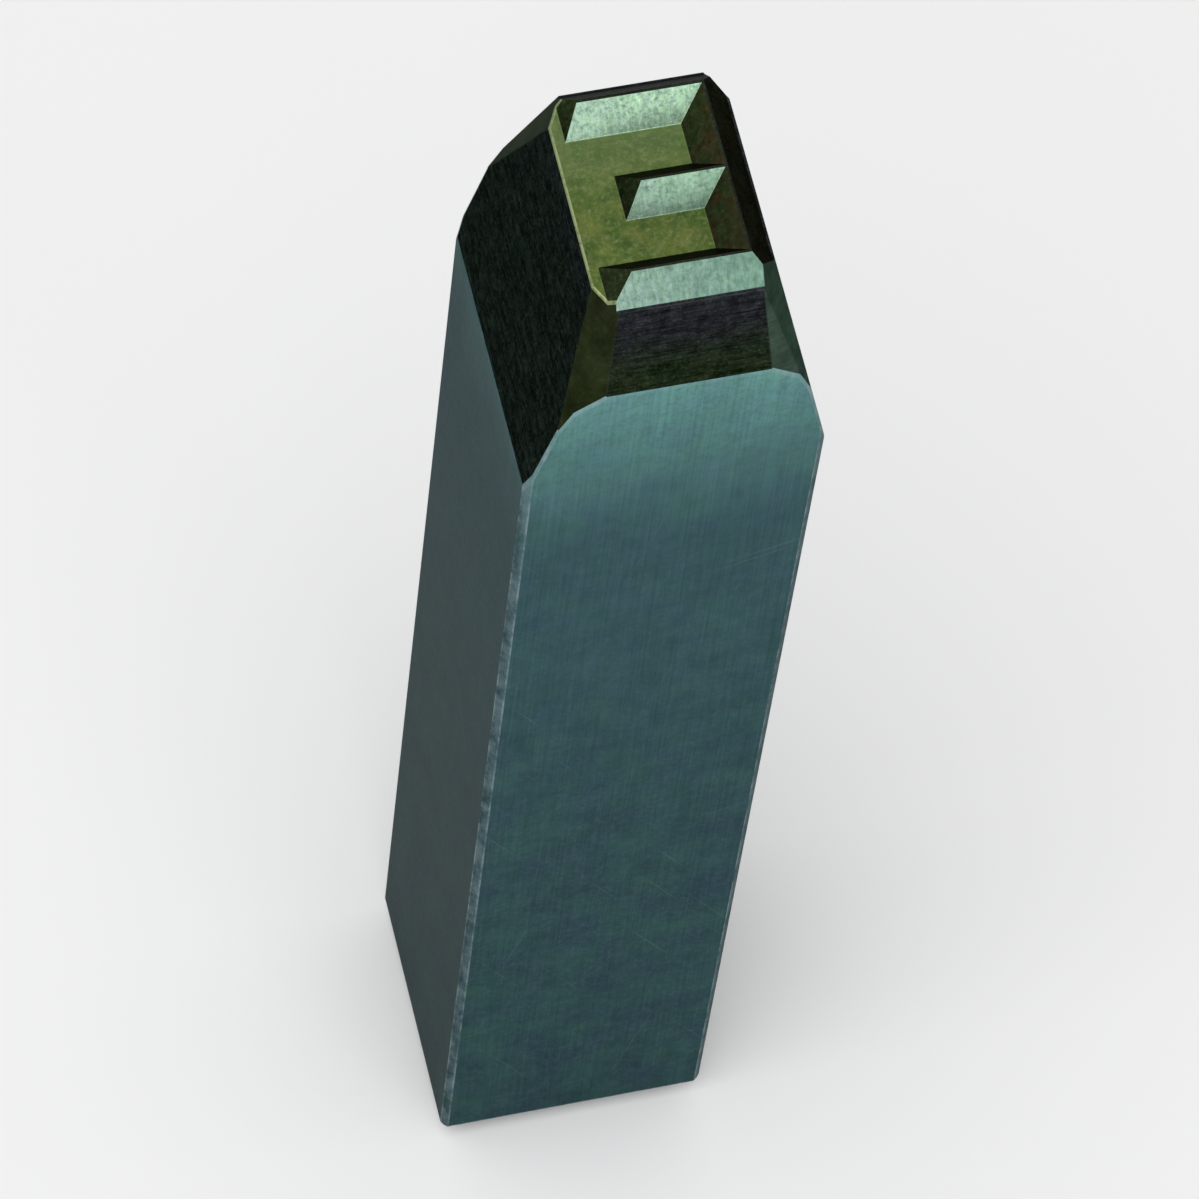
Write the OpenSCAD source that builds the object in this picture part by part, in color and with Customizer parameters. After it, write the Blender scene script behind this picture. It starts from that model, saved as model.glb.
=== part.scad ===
// Steel letter punch: a square shank, a faceted head and one raised mirrored letter E.
// Millimetres. It stands on its struck end, with the letter up and the top of the letter towards +Y.

/* [Shank] */
// Side of the square shank
shank_side = 12.7; // [11.5:0.1:16]
// Length from the struck end to the tops of the letter's ridges
overall_length = 76; // [50:1:120]
// Setback of the small flat that eases each long edge
edge_ease = 0.3; // [0.1:0.05:0.8]
// Setback of the chamfer round the struck end
struck_chamfer = 1.2; // [0.5:0.1:2.5]

/* [Head] */
// Slope of the main facets along the letter's top and bottom, in degrees
front_taper = 14.7; // [11:0.1:20]
// Slope of the main facets along the letter's two sides, in degrees
side_taper = 13; // [10:0.1:20]
// Flat rim left round the base of the letter's bevels
face_rim = 0.1; // [0.05:0.05:0.4]
// Distance that the corner facets cut off each face corner, along the letter's width
corner_cut = 0.75; // [0.4:0.05:1.2]
// Turn of the two steep facets at each corner from the letter's height, in degrees
flank_turn = 62; // [50:1:70]
// Slope of those facets from vertical, in degrees
flank_slope = 21; // [17:0.5:24]
// Turn of the narrow blend facets beside them, in degrees
blend_turn = 12; // [6:1:18]
// Straight length of the shoulder line between the blend facets
shoulder_length = 6.9; // [6:0.1:7.6]

/* [Letter] */
// Height of the letter from ridge to ridge
letter_height = 8; // [7:0.1:8.6]
// Width of the letter from ridge to bar end
letter_width = 5.15; // [4.4:0.05:5.8]
// Length of the middle bar's ridge
middle_bar = 3.45; // [2.5:0.05:4.5]
// Height of the ridges over the recessed floor
relief = 1.25; // [0.8:0.05:1.6]
// Width of the flat printing edge on top of each ridge
ridge_land = 0.12; // [0.05:0.01:0.3]
// Width of each bevel in plan, from the ridge line to the floor
bevel_run = 1.05; // [0.8:0.05:1.2]
// The same at the free end of each bar
end_run = 0.65; // [0.4:0.05:1]

/* [Hidden] */
floor_z = overall_length - relief;
half = shank_side / 2;
face_x = letter_width / 2 + bevel_run + face_rim;
face_y = letter_height / 2 + bevel_run + face_rim;
side_drop = (half - face_x) / tan(side_taper);
front_drop = (half - face_y) / tan(front_taper);
corner_x = face_x - corner_cut;
blend_slope = atan(
  ((shoulder_length / 2 - corner_x) * sin(blend_turn) + (half - face_y) * cos(blend_turn)) / front_drop
);
// How far the letter's strokes reach down into the head
root = 0.5;
// Size of the blocks that cut the corner facets
block = 2 * shank_side;

// Outline of the shank seen along one side, from the struck end to the face
function side_outline(face, drop) = [
  [half - struck_chamfer, 0],
  [half, struck_chamfer],
  [half, floor_z - drop],
  [face, floor_z],
  [-face, floor_z],
  [-half, floor_z - drop],
  [-half, struck_chamfer],
  [struck_chamfer - half, 0]
];

// Section across the shank, with its eased edges
function shank_section() = [
  for (q = [0 : 3], s = [-1, 1])
    let (a = 90 * q, u = half, v = s * (half - edge_ease))
      [u * cos(a) - v * sin(a), u * sin(a) + v * cos(a)]
];

// Section through a stroke whose ridge runs from one point to another
function stroke_section(from, to, from_run, to_run) = [
  [from - from_run, -root],
  [to + to_run, -root],
  [to + to_run, 0],
  [to + ridge_land / 2, relief],
  [from - ridge_land / 2, relief],
  [from - from_run, 0]
];

// Extrude a section drawn across Y and Z along X, or one drawn across X and Z along Y
module along_x(length) {
  rotate([90, 0, 90])
    linear_extrude(height = length, center = true)
      children();
}

module along_y(length) {
  rotate([90, 0, 0])
    linear_extrude(height = length, center = true)
      children();
}

// One straight stroke: two bevelled sides and two bevelled ends
module stroke(x, y, left_run) {
  translate([0, 0, floor_z])
    intersection() {
      along_y(shank_side)
        polygon(stroke_section(x[0], x[1], left_run, bevel_run));
      along_x(shank_side)
        polygon(stroke_section(y[0], y[1], bevel_run, bevel_run));
    }
}

module letter_e() {
  right = letter_width / 2;
  top = letter_height / 2;
  stroke([right, right], [-top, top], bevel_run);
  stroke([-right, right], [top, top], end_run);
  stroke([-right, right], [-top, -top], end_run);
  stroke([right - middle_bar, right], [0, 0], end_run);
}

// Block whose inner face is a facet through the face corner
module facet_block(turn, slope) {
  translate([corner_x, -face_y, floor_z])
    rotate([-slope, 0, turn])
      translate([-block / 2, -block, -block / 2])
        cube(block);
}

module body() {
  intersection() {
    linear_extrude(height = floor_z)
      polygon(shank_section());
    along_y(block)
      polygon(side_outline(face_x, side_drop));
    along_x(block)
      polygon(side_outline(face_y, front_drop));
  }
}

module letter_punch() {
  color("dimgray")
    difference() {
      union() {
        body();
        letter_e();
      }
      for (mx = [0, 1], my = [0, 1])
        mirror([mx, 0, 0])
          mirror([0, my, 0]) {
            facet_block(flank_turn, flank_slope);
            facet_block(blend_turn, blend_slope);
          }
    }
}

letter_punch();
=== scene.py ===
"""A black-oxide steel letter punch, standing letter up on a plain pale floor under soft studio light."""
import math

import bmesh
import bpy
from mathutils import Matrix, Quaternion, Vector, geometry


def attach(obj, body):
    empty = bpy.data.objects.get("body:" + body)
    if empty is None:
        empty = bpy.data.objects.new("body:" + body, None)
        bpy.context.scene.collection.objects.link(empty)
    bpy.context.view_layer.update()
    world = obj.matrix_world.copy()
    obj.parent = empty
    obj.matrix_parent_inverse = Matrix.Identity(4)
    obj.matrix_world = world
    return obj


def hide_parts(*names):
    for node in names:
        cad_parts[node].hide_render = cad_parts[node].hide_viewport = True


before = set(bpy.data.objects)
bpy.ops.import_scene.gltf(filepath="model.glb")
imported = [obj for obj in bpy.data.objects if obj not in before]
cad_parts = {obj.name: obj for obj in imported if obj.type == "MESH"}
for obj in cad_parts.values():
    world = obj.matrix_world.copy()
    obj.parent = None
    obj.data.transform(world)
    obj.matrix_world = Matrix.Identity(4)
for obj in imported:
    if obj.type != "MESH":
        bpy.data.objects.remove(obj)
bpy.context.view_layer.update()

MM = 0.001
# Places nearer than this count as one
TINY = 0.01 * MM
MERGE_DISTANCE = TINY / 10
MERGE_ANGLE = math.radians(0.5)

# Camera: the photograph's direction and roll, in degrees, the distance to the point that it looks at, and how
# high that point is on the punch's axis
CAMERA_AZIMUTH = -20.9
CAMERA_ELEVATION = 61.4
CAMERA_ROLL = -8.6
CAMERA_DISTANCE = 340 * MM
CAMERA_LENS = 234
CAMERA_CLIP = 10 * MM
AIM_HEIGHT = 40.5 * MM

# Widths of the eased edges: on the letter, the rim round it, the floor's open side, the shank's long edges,
# the edges between the head's facets, the shoulder and the struck end
LETTER_EASE = 0.03 * MM
RIM_EASE = 0.05 * MM
OPEN_EASE = 0.12 * MM
SHANK_EASE = 0.06 * MM
FACET_EASE = 0.06 * MM
SHOULDER_EASE = 0.17 * MM
STRUCK_EASE = 0.3 * MM
EASE_SEGMENTS = 2

# What is lower than this belongs to the struck end
STRUCK_HEIGHT = 2 * MM
# Height over the floor up to which an eased edge counts as the letter's foot
FOOT_DEPTH = 0.1 * MM

# Moves of the free ends of two bars along X, by bar: at the foot and at the ridge
BAR_PITCH = 4 * MM
BAR_ENDS = {-1: (-0.05 * MM, 0.35 * MM), 0: (-0.15 * MM, 0)}

# Parts of a face's normal along an axis: of a level face, of one that looks mostly that way, of the end of a
# bar, which is steeper than the stem's bevels, and of one that is turned that way at all
LEVEL = 0.99
MOSTLY = 0.5
BAR_END = 0.8
SLIGHTLY = 0.1
# Two normals whose product is over this are parallel
PARALLEL = 0.9999

# How much of the film is rubbed off, which also paints edge highlights: on eased edges, on the flats along
# the shank, where it paints a sheen too, on the floor's open side, where the light line is mostly a painted
# highlight, and on the sloping and the level parts of the shoulder. A share over 1 leaves next to none.
RUB_AND_GLINT = "rubbed"
EDGE_RUB_AND_GLINT = 0.8
FLAT_RUB_AND_SHEEN = 0.42
OPEN_GLINT_AND_RUB = 2.0
SLOPE_RUB_AND_GLINT = 0.7
LEVEL_RUB_AND_GLINT = 0.2

# Levels of the noise between which the steel's patches, streaks and clouds go from one tone to the other, and
# its grain from one roughness to the other
PATCH_LEVELS = (0.35, 0.65)
STREAK_LEVELS = (0.3, 0.7)
CLOUD_LEVELS = (0.34, 0.66)
GRAIN_LEVELS = (0.3, 0.7)
# Sizes of the patches of hue and of the clouds, as parts of the film's patches
HUE_PART = 0.7
CLOUD_PART = 0.4
# The patches move the place of a fade by up to one part in this many of its length
FADE_PARTS = 14
# Distances from the middle, along X, between which the tone turns to the painted shade of the shank's two
# sides
SIDE_REACH = (6 * MM, 6.3 * MM)

# Colour of the steel's reflections at grazing angles, and the two hues of the film
EDGE_TINT = (0.4, 0.42, 0.41, 1)
COOL = (0.97, 0.96, 1.05, 1)
WARM = (0.98, 1.05, 0.97, 1)

# Ways that the grinding marks are drawn out
ALONG_Z = (1, 1, 60)
ALONG_XY = (12, 12, 1)
UP_BEVEL = (1, 4, 4)

# Wear of the rubbed places, which also breaks up their painted edge highlights: its patches, the levels of
# noise that it starts and is full at, and its shares there
WEAR_AND_GLINT_SIZE = 0.7 * MM
WEAR_AND_GLINT_STRETCH = (1, 1, 2)
WEAR_AND_GLINT_LEVELS = (0.4, 0.62)
WEAR_AND_GLINT_SHARES = (0.15, 0.9)

# Scratches: their turns across a face in degrees, their width, how far they are drawn out, and the levels of
# noise that they start and are full at, with their shares there
SCRATCH_TURNS = (14, -31, 72)
SCRATCH_WIDTH = 0.09 * MM
SCRATCH_STRETCH = (1, 1, 80)
SCRATCH_LEVELS = (0.83, 0.91)
SCRATCH_SHARES = (0, 0.4)
# They slide along themselves by up to eight lengths, by a noise that changes across them alone
SLIDE_PACE = (0.4, 0, 0)
SLIDE_REACH = (0, 0, 8)
# A face whose normal goes further than this along X looks left or right
SIDEWAYS = 0.6
# Its normal times this moves the scratches of each side of the punch apart
SIDE_SHIFT = (20 * MM, 30 * MM, 0)

# Studio: the floor, the tones of the world's light and of the backdrop that is seen, and where the lamps aim
FLOOR_TONES = (0.9, 0.92)
FLOOR_PATCH = 300 * MM
FLOOR_HALF = 4000 * MM
FLOOR_ROUGHNESS = 0.9
FLOOR_SHINE = 0.2
WORLD_TONE = 0.6
BACKDROP_TONE = 0.92
LAMP_AIM = (0, 0, 60 * MM)


def srgb(red, green, blue):
    """A colour given as it looks on a screen, from 0 to 255, as the linear values that a shader takes."""
    linear = []
    for level in (red, green, blue):
        share = level / 255
        linear.append(share / 12.92 if share <= 0.04045 else ((share + 0.055) / 1.055) ** 2.4)
    return (*linear, 1.0)


def grey(level):
    return (level, level, level, 1)


def link(name, data):
    """A new object in the scene that shows the data."""
    item = bpy.data.objects.new(name, data)
    bpy.context.scene.collection.objects.link(item)
    return item


def make_camera():
    turn, rise = math.radians(CAMERA_AZIMUTH), math.radians(CAMERA_ELEVATION)
    back = Vector((math.sin(turn) * math.cos(rise), -math.cos(turn) * math.cos(rise), math.sin(rise)))
    data = bpy.data.cameras.new("camera")
    data.lens = CAMERA_LENS
    data.clip_start = CAMERA_CLIP
    camera = link("camera", data)
    camera.location = Vector((0, 0, AIM_HEIGHT)) + back * CAMERA_DISTANCE
    camera.rotation_mode = "QUATERNION"
    roll = Quaternion((0, 0, 1), math.radians(-CAMERA_ROLL))
    camera.rotation_quaternion = (-back).to_track_quat("-Z", "Y") @ roll
    bpy.context.scene.camera = camera
    bpy.context.scene.view_settings.view_transform = "Standard"


# Shader helpers


def add(tree, kind, sockets=None, **settings):
    """A new node with its settings. Each socket gets a value, or a link where a node's output is given."""
    node = tree.nodes.new(kind)
    for name, value in settings.items():
        setattr(node, name, value)
    for name, value in (sockets or {}).items():
        if isinstance(value, bpy.types.NodeSocket):
            tree.links.new(value, node.inputs[name])
        else:
            node.inputs[name].default_value = value
    return node


def new_material(name):
    material = bpy.data.materials.new(name)
    material.use_nodes = True
    tree = material.node_tree
    tree.nodes.clear()
    shader = add(tree, "ShaderNodeBsdfPrincipled")
    add(tree, "ShaderNodeOutputMaterial", {"Surface": shader.outputs["BSDF"]})
    return material, tree, shader


def number(tree, operation, *values):
    """The result of an operation on numbers."""
    return add(tree, "ShaderNodeMath", dict(enumerate(values)), operation=operation).outputs[0]


def vector(tree, operation, *values):
    """The result of an operation on vectors or colours."""
    return add(tree, "ShaderNodeVectorMath", dict(enumerate(values)), operation=operation).outputs[0]


def along(tree, place, axis):
    """The place's distance along an axis."""
    return add(tree, "ShaderNodeSeparateXYZ", {"Vector": place}).outputs[axis]


def scaled(tree, place, size, stretch=(1, 1, 1), turn=(0, 0, 0)):
    """The place in units of size, drawn out along the axes by stretch, then turned by angles in degrees."""
    scale = [size * share for share in stretch]
    rotation = [math.radians(angle) for angle in turn]
    sockets = {"Vector": place, "Scale": scale, "Rotation": rotation}
    return add(tree, "ShaderNodeMapping", sockets, vector_type="TEXTURE").outputs["Vector"]


def noise(tree, place, size, stretch=(1, 1, 1), detail=3.0, roughness=0.55):
    """Noise from 0 to 1, whose patches are about size across, drawn out along each axis by stretch."""
    shape = scaled(tree, place, size, stretch)
    sockets = {"Vector": shape, "Scale": 1.0, "Detail": detail, "Roughness": roughness}
    return add(tree, "ShaderNodeTexNoise", sockets).outputs["Fac"]


def spread(tree, value, levels, shares=(0, 1), form="LINEAR"):
    """The value between two levels, mapped to the range of shares and held there at both ends."""
    (low, high), (low_share, high_share) = levels, shares
    sockets = {"Value": value, "From Min": low, "From Max": high, "To Min": low_share, "To Max": high_share}
    return add(tree, "ShaderNodeMapRange", sockets, interpolation_type=form).outputs["Result"]


def mix(tree, share, first, second, blend="MIX"):
    """Two colours mixed. Between the share and the colours, the node has sockets for other kinds of value."""
    sockets = {0: share, 6: first, 7: second}
    return add(tree, "ShaderNodeMix", sockets, data_type="RGBA", blend_type=blend).outputs[2]


def bump(tree, height, distance, **below):
    """The normal of a relief, on top of the one below it if that is given as Normal."""
    sockets = {"Height": height, "Distance": distance, "Strength": 1.0, **below}
    return add(tree, "ShaderNodeBump", sockets).outputs["Normal"]


# Steel: one recipe for every zone of the punch


def steel(name, dark, light, fleck, rough, flecks=(0.52, 0.74, 0.55), grain=0.12 * MM,
          grain_depth=0.004 * MM, marks=(1, 1, 1), mark_size=0.12 * MM, mark_tones=(0.86, 1.12),
          mark_depth=0.002 * MM, patch=2.5 * MM, mottle=(0.93, 1.08), fades=(), side_tone=None, worn_and_glint=None,
          scratch=None):
    """Ground steel under an oxide film.

    The film drifts from dark to light, and from a cool to a warm hue, in patches about patch across. Each of
    the fades is a colour that it turns to along an axis, between two places. side_tone multiplies it on the
    shank's two sides, as painted shade. The grain brings in fleck, a third colour: flecks holds the two
    levels of grain that it starts and is full at, and its share there. The roughness follows the grain too,
    within the range rough.
    The grinding marks are drawn out along the axes by marks. mark_tones and mottle are the darkest and the
    lightest tones that the marks and the clouds over them multiply the colour by. The worn colour is that of
    rubbed places, where it also paints edge highlights, and scratch that of scratches."""
    material, tree, shader = new_material(name)
    place = add(tree, "ShaderNodeTexCoord").outputs["Object"]
    colour = film(tree, place, dark, light, patch, fades, side_tone)
    speckle = noise(tree, place, grain, detail=4.0, roughness=0.7)
    colour = mix(tree, spread(tree, speckle, flecks[:2], (0, flecks[2])), colour, fleck)
    streaks = noise(tree, place, mark_size, stretch=marks, roughness=0.7)
    clouds = noise(tree, place, patch * CLOUD_PART, detail=4.0, roughness=0.6)
    streak_tone = spread(tree, streaks, STREAK_LEVELS, mark_tones)
    tone = number(tree, "MULTIPLY", streak_tone, spread(tree, clouds, CLOUD_LEVELS, mottle))
    colour = vector(tree, "MULTIPLY", colour, tone)
    if scratch:
        colour = mix(tree, scratches(tree, place), colour, scratch)
    # Rubbed places, in a light tone that also paints edge highlights
    if worn_and_glint:
        colour = mix(tree, edge_wear_and_glint(tree, place), colour, worn_and_glint)
    tree.links.new(colour, shader.inputs["Base Color"])
    shader.inputs["Metallic"].default_value = 1.0
    shader.inputs["Specular Tint"].default_value = EDGE_TINT
    tree.links.new(spread(tree, speckle, GRAIN_LEVELS, rough), shader.inputs["Roughness"])
    relief = bump(tree, streaks, mark_depth, Normal=bump(tree, speckle, grain_depth))
    tree.links.new(relief, shader.inputs["Normal"])
    return material


def film(tree, place, dark, light, patch, fades, side_tone):
    """The film's colour, before its grain and marks."""
    patches = spread(tree, noise(tree, place, patch), PATCH_LEVELS)
    colour = mix(tree, patches, dark, light)
    for tone, axis, start, end in fades:
        wander = number(tree, "MULTIPLY_ADD", patches, (end - start) / FADE_PARTS, along(tree, place, axis))
        colour = mix(tree, spread(tree, wander, (start, end), form="SMOOTHSTEP"), colour, tone)
    # Painted shade: the shank's two sides are made darker
    if side_tone:
        across = number(tree, "ABSOLUTE", along(tree, place, "X"))
        colour = mix(tree, spread(tree, across, SIDE_REACH), colour, side_tone, "MULTIPLY")
    warmth = spread(tree, noise(tree, place, patch * HUE_PART, detail=4.0), PATCH_LEVELS)
    return vector(tree, "MULTIPLY", colour, mix(tree, warmth, COOL, WARM))


def edge_wear_and_glint(tree, place):
    """How much of the film is rubbed off, which also paints a highlight along the edges: only where the mesh
    says so, and unevenly there.
    """
    rubbed = add(tree, "ShaderNodeAttribute", attribute_name=RUB_AND_GLINT).outputs["Fac"]
    patches = noise(tree, place, WEAR_AND_GLINT_SIZE, stretch=WEAR_AND_GLINT_STRETCH, detail=5.0, roughness=0.7)
    return number(tree, "MULTIPLY", rubbed, spread(tree, patches, WEAR_AND_GLINT_LEVELS, WEAR_AND_GLINT_SHARES))


def on_face(tree, place):
    """The place along and up the face that it is on, as a flat vector, with the punch's sides moved apart."""
    facing = add(tree, "ShaderNodeTexCoord").outputs["Normal"]
    sideways = number(tree, "GREATER_THAN", number(tree, "ABSOLUTE", along(tree, facing, "X")), SIDEWAYS)
    ways = {"Factor": sideways, "A": along(tree, place, "X"), "B": along(tree, place, "Y")}
    across = add(tree, "ShaderNodeMix", ways).outputs["Result"]
    flat = add(tree, "ShaderNodeCombineXYZ", {"X": across, "Z": along(tree, place, "Z")}).outputs[0]
    return vector(tree, "MULTIPLY_ADD", facing, SIDE_SHIFT, flat)


def scratches(tree, place):
    """How much shows of a few fine scratches, which run three ways across the faces."""
    flat = on_face(tree, place)
    shown = 0.0
    for turn in SCRATCH_TURNS:
        lines = scaled(tree, flat, SCRATCH_WIDTH, stretch=SCRATCH_STRETCH, turn=(0, turn, 0))
        slide = noise(tree, vector(tree, "MULTIPLY", lines, SLIDE_PACE), 1.0)
        lines = vector(tree, "MULTIPLY_ADD", slide, SLIDE_REACH, lines)
        thin = noise(tree, lines, 1.0, detail=0.0)
        shown = number(tree, "MAXIMUM", spread(tree, thin, SCRATCH_LEVELS, SCRATCH_SHARES), shown)
    return shown


# Zones of the punch's faces, each with its finish. On the letter, lit and shaded copies of one bevel finish
# give painted highlight and painted shade, and the shank's and the floor's tones hold painted reflection.
ZONES = {
    # The shank's teal tone is the dark oxide with a painted reflection in it
    "shank": dict(
        name="shank_oxide_and_painted_reflection",
        dark=srgb(62, 82, 90),
        light=srgb(66, 92, 92),
        fleck=srgb(84, 106, 110),
        rough=(0.34, 0.46),
        flecks=(0.46, 0.7, 0.4),
        grain=0.28 * MM,
        marks=ALONG_Z,
        patch=3 * MM,
        # Painted reflection: the shank turns lighter towards the head
        fades=(
            (srgb(69, 96, 101), "Z", 22 * MM, 62 * MM),
            (srgb(117, 165, 160), "Z", 57 * MM, 76 * MM),
        ),
        # Painted shade on the shank's two sides
        side_tone=(0.54, 0.54, 0.57, 1),
        worn_and_glint=srgb(150, 170, 176),
        scratch=srgb(126, 144, 146),
    ),
    "taper": dict(
        name="oxide_taper",
        dark=srgb(22, 33, 17),
        light=srgb(33, 41, 26),
        fleck=srgb(56, 60, 50),
        rough=(0.36, 0.5),
        flecks=(0.5, 0.7, 0.6),
        marks=ALONG_XY,
        mark_tones=(0.38, 1.7),
        mark_depth=0.004 * MM,
        patch=1.2 * MM,
        mottle=(0.6, 1.45),
        fades=(
            (srgb(34, 35, 40), "Z", 71 * MM, 74 * MM),
            (srgb(26, 30, 29), "X", -3 * MM, -4.5 * MM),
            (srgb(26, 30, 29), "X", 3 * MM, 4.5 * MM),
        ),
        worn_and_glint=srgb(60, 68, 60),
    ),
    "facet": dict(
        name="oxide_facet",
        dark=srgb(34, 40, 21),
        light=srgb(41, 47, 27),
        fleck=srgb(58, 66, 50),
        rough=(0.32, 0.46),
        marks=ALONG_XY,
        mottle=(0.7, 1.35),
        fades=((srgb(57, 72, 62), "X", -1 * MM, 3 * MM),),
        worn_and_glint=srgb(50, 56, 40),
    ),
    # The floor's golden-olive tone is partly the oxide's own colour and partly a painted reflection; it turns
    # lighter towards +Y
    "floor": dict(
        name="floor_oxide_and_painted_reflection",
        dark=srgb(66, 90, 42),
        light=srgb(100, 109, 56),
        fleck=srgb(122, 133, 90),
        rough=(0.4, 0.55),
        flecks=(0.48, 0.7, 0.7),
        grain=0.22 * MM,
        patch=0.9 * MM,
        fades=((srgb(100, 118, 74), "Y", -1 * MM, 5 * MM),),
        worn_and_glint=srgb(142, 153, 112),
    ),
    # Painted highlight: the letter's bevels that face -Y, a lit copy of the bevel finish, made lighter still
    # towards +Y and -X by its fades
    "bright": dict(
        name="bevel_painted_highlight",
        dark=srgb(98, 130, 114),
        light=srgb(124, 156, 138),
        fleck=srgb(84, 108, 96),
        rough=(0.38, 0.55),
        flecks=(0.42, 0.68, 0.8),
        grain=0.2 * MM,
        grain_depth=0.01 * MM,
        marks=UP_BEVEL,
        mark_size=0.18 * MM,
        mark_tones=(0.74, 1.24),
        patch=0.5 * MM,
        mottle=(0.8, 1.2),
        fades=(
            (srgb(178, 212, 179), "Y", -4.5 * MM, 4 * MM),
            (srgb(158, 178, 168), "X", 3 * MM, -10 * MM),
        ),
    ),
    # Lighter painted shade: the letter's bevels that face -X, a half-shaded copy of the bevel finish
    "bevel": dict(
        name="bevel_painted_half_shade",
        dark=srgb(62, 50, 32),
        light=srgb(46, 60, 36),
        fleck=srgb(76, 76, 54),
        rough=(0.38, 0.52),
        flecks=(0.5, 0.7, 0.7),
        grain=0.2 * MM,
        patch=0.8 * MM,
        mottle=(0.75, 1.3),
        fades=((srgb(40, 50, 30), "X", 1 * MM, -1 * MM),),
    ),
    # Painted shade: the letter's bevels that face +X or +Y, a shaded copy of the bevel finish
    "shade": dict(
        name="bevel_painted_shade",
        dark=srgb(26, 24, 18),
        light=srgb(34, 33, 24),
        fleck=srgb(50, 50, 40),
        rough=(0.38, 0.52),
        patch=0.8 * MM,
    ),
    "land": dict(
        name="printing_edge",
        dark=srgb(32, 36, 28),
        light=srgb(44, 49, 40),
        fleck=srgb(70, 76, 66),
        rough=(0.34, 0.5),
    ),
    "end": dict(
        name="struck_steel",
        dark=srgb(60, 68, 70),
        light=srgb(82, 90, 90),
        fleck=srgb(112, 118, 114),
        rough=(0.36, 0.52),
        patch=1.5 * MM,
        worn_and_glint=srgb(140, 146, 142),
        scratch=srgb(130, 136, 132),
    ),
}
ZONE_NAMES = list(ZONES)
HEAD_ZONES = ("taper", "facet")


# The punch: the CAD solid with its edges eased, one material for each zone of its faces


def zone_of(face, floor_z):
    """The zone that a face of the solid is in: on the letter, or below its foot. The letter's sloping faces
    are split by the way that they face. Those facing -Y are a lit copy with painted highlight, those facing
    +X or +Y a copy with painted shade, and those facing -X a copy with lighter painted shade.
    """
    normal, height = face.normal, face.calc_center_median().z
    if height > floor_z + TINY:
        if normal.z > LEVEL:
            return "land"
        if normal.y < -MOSTLY:
            return "bright"
        return "shade" if max(normal.x, normal.y) > MOSTLY else "bevel"
    if normal.z > LEVEL:
        return "floor"
    if normal.z < -SLIGHTLY:
        return "end"
    if normal.z < SLIGHTLY:
        return "shank"
    return "facet" if min(abs(normal.x), abs(normal.y)) > SLIGHTLY else "taper"


def slope_bar_ends(mesh, floor_z):
    """Gives the free ends of two bars a longer slope. Each corner of an end slides along the edge that leaves
    the end, so every face stays flat."""
    for face in mesh.faces:
        place = face.calc_center_median()
        bar = round(place.y / BAR_PITCH)
        if face.normal.x > -BAR_END or place.z < floor_z + TINY or bar not in BAR_ENDS:
            continue
        foot = min(vert.co.x for vert in face.verts) + BAR_ENDS[bar][0]
        ridge = max(vert.co.x for vert in face.verts) + BAR_ENDS[bar][1]
        top = max(vert.co.z for vert in face.verts)
        normal = Vector((floor_z - top, 0, ridge - foot))
        for vert in face.verts:
            leaving = next(edge for edge in vert.link_edges if face not in edge.link_faces)
            away = leaving.other_vert(vert).co
            vert.co = geometry.intersect_line_plane(vert.co, away, Vector((foot, 0, floor_z)), normal)
    mesh.normal_update()


def is_open(edge, floor_z):
    """Whether the edge is on the floor's open side, which the ends of the bars face, or at a corner there."""
    low = min(vert.co.z for vert in edge.verts)
    faces = edge.link_faces
    on_head = [face for face in faces if zone_of(face, floor_z) in HEAD_ZONES]
    on_side = any(face.normal.x < -MOSTLY for face in on_head)
    on_bevel = any(abs(face.normal.y) > MOSTLY for face in faces)
    return low > floor_z - TINY and on_side and not on_bevel and edge.calc_length() > 2 * OPEN_EASE


def is_shoulder(edge, floor_z):
    """Whether the edge is between the shank and the head."""
    zones = {zone_of(face, floor_z) for face in edge.link_faces}
    return "shank" in zones and not zones.isdisjoint(HEAD_ZONES)


def ease_of(edge, floor_z):
    """The width that the edge is eased by. The faint edges between two corner facets stay sharp."""
    low = min(vert.co.z for vert in edge.verts)
    high = max(vert.co.z for vert in edge.verts)
    if is_open(edge, floor_z):
        return OPEN_EASE
    if high > floor_z + TINY:
        return LETTER_EASE
    if all(zone_of(face, floor_z) == "facet" for face in edge.link_faces):
        return 0.0
    if high > floor_z - TINY:
        return RIM_EASE if low > floor_z - TINY else FACET_EASE
    if high < STRUCK_HEIGHT:
        return STRUCK_EASE
    return SHANK_EASE if low < STRUCK_HEIGHT else SHOULDER_EASE


def worn_and_glint_lines(mesh, floor_z):
    """The ends of each edge that has its own wear and painted highlight, the zone of its eased strip, and its
    share of both.
    """
    lines = []
    for edge in mesh.edges:
        start, end = (vert.co.copy() for vert in edge.verts)
        # The light line on the floor's open side is mostly a painted highlight; the shoulder's is rubbing
        # with a painted highlight
        if is_open(edge, floor_z):
            lines.append((start, end, "floor", OPEN_GLINT_AND_RUB))
        elif is_shoulder(edge, floor_z):
            level = abs(start.z - end.z) < TINY
            lines.append((start, end, "shank", LEVEL_RUB_AND_GLINT if level else SLOPE_RUB_AND_GLINT))
    return lines


def wear_and_glint_beside(place, lines):
    """The zone and the share of wear and painted highlight of the line that the place is beside, or None."""
    for start, end, zone, rub in lines:
        share = geometry.intersect_point_line(place, start, end)[1]
        nearest = start.lerp(end, min(max(share, 0), 1))
        if (place - nearest).length < SHOULDER_EASE:
            return zone, rub
    return None


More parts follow.
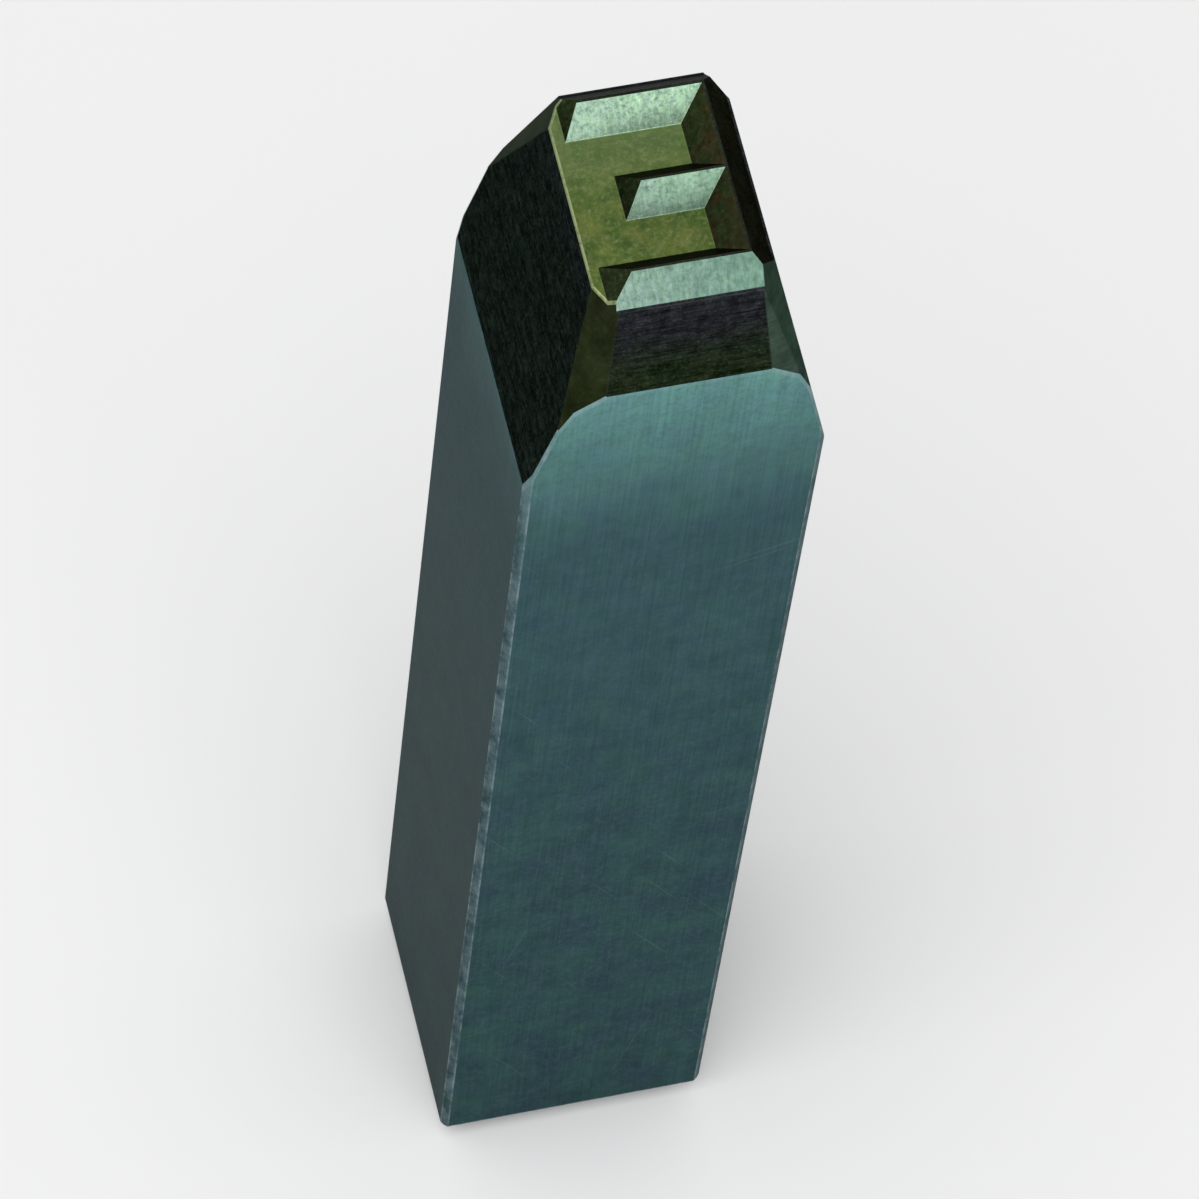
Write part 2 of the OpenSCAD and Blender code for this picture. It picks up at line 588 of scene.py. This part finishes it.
def flat_solid(node):
    """The solid's mesh with one face for each of its flat sides, and the height of the letter's floor."""
    mesh = bmesh.new()
    mesh.from_mesh(node.data)
    bmesh.ops.remove_doubles(mesh, verts=mesh.verts, dist=MERGE_DISTANCE)
    bmesh.ops.dissolve_limit(mesh, angle_limit=MERGE_ANGLE, verts=mesh.verts, edges=mesh.edges)
    mesh.normal_update()
    return mesh, min(face.calc_center_median().z for face in mesh.faces if face.normal.z > LEVEL)


def dress_punch(node):
    mesh, floor_z = flat_solid(node)
    slope_bar_ends(mesh, floor_z)
    lines = worn_and_glint_lines(mesh, floor_z)
    weight = mesh.edges.layers.float.new("bevel_weight_edge")
    for edge in mesh.edges:
        edge[weight] = ease_of(edge, floor_z) / STRUCK_EASE
    for face in mesh.faces:
        face.material_index = ZONE_NAMES.index(zone_of(face, floor_z))
        face.smooth = False
    data = bpy.data.meshes.new("punch_steel")
    mesh.to_mesh(data)
    mesh.free()
    for finish in ZONES.values():
        data.materials.append(steel(**finish))
    piece = link("punch_steel", data)
    planes = [(face.normal.copy(), face.center.dot(face.normal)) for face in data.polygons]
    ease_edges(piece)
    mark_rub_and_glint(piece.data, planes, lines, floor_z)
    darken_rim(piece.data, floor_z)
    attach(piece, "root")
    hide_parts(node.name)


def ease_edges(piece):
    """Rounds each edge by its own width, and keeps the result as the piece's mesh."""
    bevel = piece.modifiers.new("eased_edges", "BEVEL")
    bevel.limit_method = "WEIGHT"
    bevel.offset_type = "OFFSET"
    bevel.width = STRUCK_EASE
    bevel.segments = EASE_SEGMENTS
    bevel.use_clamp_overlap = True
    graph = bpy.context.evaluated_depsgraph_get()
    eased = bpy.data.meshes.new_from_object(piece.evaluated_get(graph))
    piece.modifiers.clear()
    piece.data = eased


def on_a_plane(face, planes):
    """Whether the face lies on one of the planes, each given by its normal and its depth along it."""
    for normal, depth in planes:
        if face.normal.dot(normal) > PARALLEL and abs(face.center.dot(normal) - depth) <= TINY / 5:
            return True
    return False


def mark_rub_and_glint(data, planes, lines, floor_z):
    """Says how much of the film each face has lost, a share that also paints edge highlights. The strips that
    ease the edges lie on none of the planes.
    Those at the foot of the letter keep their film, and those beside the lines with their own wear and
    highlight have their own share. The flats along the shank's edges are rubbed a little, which also paints a
    sheen on them."""
    rubbed = data.attributes.new(RUB_AND_GLINT, "FLOAT", "FACE")
    for face in data.polygons:
        at_foot = floor_z - TINY < face.center.z < floor_z + FOOT_DEPTH
        share = 0.0
        if not on_a_plane(face, planes):
            wear = wear_and_glint_beside(face.center, lines)
            if wear:
                face.material_index = ZONE_NAMES.index(wear[0])
                share = wear[1]
            elif not at_foot:
                share = EDGE_RUB_AND_GLINT
        # The flats along the shank's edges: a little rubbing, which also paints a sheen
        elif min(abs(face.normal.x), abs(face.normal.y)) > MOSTLY:
            share = FLAT_RUB_AND_SHEEN
        rubbed.data[face.index].value = share


def cut_floor(mesh, floor_z, axis, reach):
    """Cuts the floor's faces across an axis, at the distance reach along it."""
    floor = [face for face in mesh.faces if face.normal.z > LEVEL]
    floor = [face for face in floor if abs(face.calc_center_median().z - floor_z) < TINY]
    edges = dict.fromkeys(edge for face in floor for edge in face.edges)
    verts = dict.fromkeys(vert for face in floor for vert in face.verts)
    parts = [*floor, *edges, *verts]
    bmesh.ops.bisect_plane(mesh, geom=parts, dist=MERGE_DISTANCE, plane_co=axis * reach, plane_no=axis)


def darken_rim(data, floor_z):
    """Makes the narrow rim outside the letter's foot as dark as the taper below it. The eased edges on the
    floor's open side take the floor's look."""
    mesh = bmesh.new()
    mesh.from_mesh(data)
    raised = [vert.co for vert in mesh.verts if vert.co.z > floor_z + TINY]
    right, top = (max(place[axis] for place in raised) for axis in (0, 1))
    cut_floor(mesh, floor_z, Vector((1, 0, 0)), right)
    for reach in (top, -top):
        cut_floor(mesh, floor_z, Vector((0, 1, 0)), reach)
    for face in mesh.faces:
        place = face.calc_center_median()
        if abs(place.z - floor_z) >= FOOT_DEPTH:
            continue
        if place.x > right - TINY or abs(place.y) > top - TINY:
            face.material_index = ZONE_NAMES.index("taper")
        elif place.z < floor_z - TINY / 2:
            face.material_index = ZONE_NAMES.index("floor")
    mesh.to_mesh(data)
    mesh.free()


# Studio


def make_floor():
    material, tree, shader = new_material("pale_floor")
    place = add(tree, "ShaderNodeTexCoord").outputs["Object"]
    low_tone, high_tone = FLOOR_TONES
    tone = mix(tree, noise(tree, place, FLOOR_PATCH), grey(low_tone), grey(high_tone))
    tree.links.new(tone, shader.inputs["Base Color"])
    shader.inputs["Roughness"].default_value = FLOOR_ROUGHNESS
    shader.inputs["Specular IOR Level"].default_value = FLOOR_SHINE
    data = bpy.data.meshes.new("studio_floor")
    corners = [(x * FLOOR_HALF, y * FLOOR_HALF, 0) for x, y in ((-1, -1), (1, -1), (1, 1), (-1, 1))]
    data.from_pydata(corners, [], [(0, 1, 2, 3)])
    data.materials.append(material)
    floor = link("studio_floor", data)


def make_world():
    """Even light from all round. What sees the world itself gets the brighter tone of the backdrop."""
    world = bpy.data.worlds.new("studio")
    bpy.context.scene.world = world
    world.use_nodes = True
    tree = world.node_tree
    tree.nodes.clear()
    rays = add(tree, "ShaderNodeLightPath").outputs
    seen = number(tree, "MAXIMUM", rays["Is Camera Ray"], rays["Is Glossy Ray"])
    seen = number(tree, "MAXIMUM", seen, rays["Is Transmission Ray"])
    tone = mix(tree, seen, grey(WORLD_TONE), grey(BACKDROP_TONE))
    background = add(tree, "ShaderNodeBackground", {"Color": tone, "Strength": 1.0})
    add(tree, "ShaderNodeOutputWorld", {"Surface": background.outputs["Background"]})


def soft_lamp(name, place, size, power):
    """A lamp that the camera doesn't see. Its place and size are in metres, and its power is in watts."""
    data = bpy.data.lights.new(name, "AREA")
    data.shape = "RECTANGLE"
    data.size, data.size_y = size
    data.energy = power
    lamp = link(name, data)
    lamp.location = place
    lamp.rotation_mode = "QUATERNION"
    lamp.rotation_quaternion = (Vector(LAMP_AIM) - Vector(place)).to_track_quat("-Z", "Y")
    lamp.visible_camera = False


def make_studio():
    make_floor()
    make_world()
    soft_lamp("overhead", place=(-0.25, -0.2, 0.75), size=(0.7, 0.7), power=3.2)
    soft_lamp("front", place=(0.12, -0.6, 0.27), size=(0.5, 0.25), power=0.6)


make_camera()
dress_punch(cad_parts["letter_punch"])
make_studio()
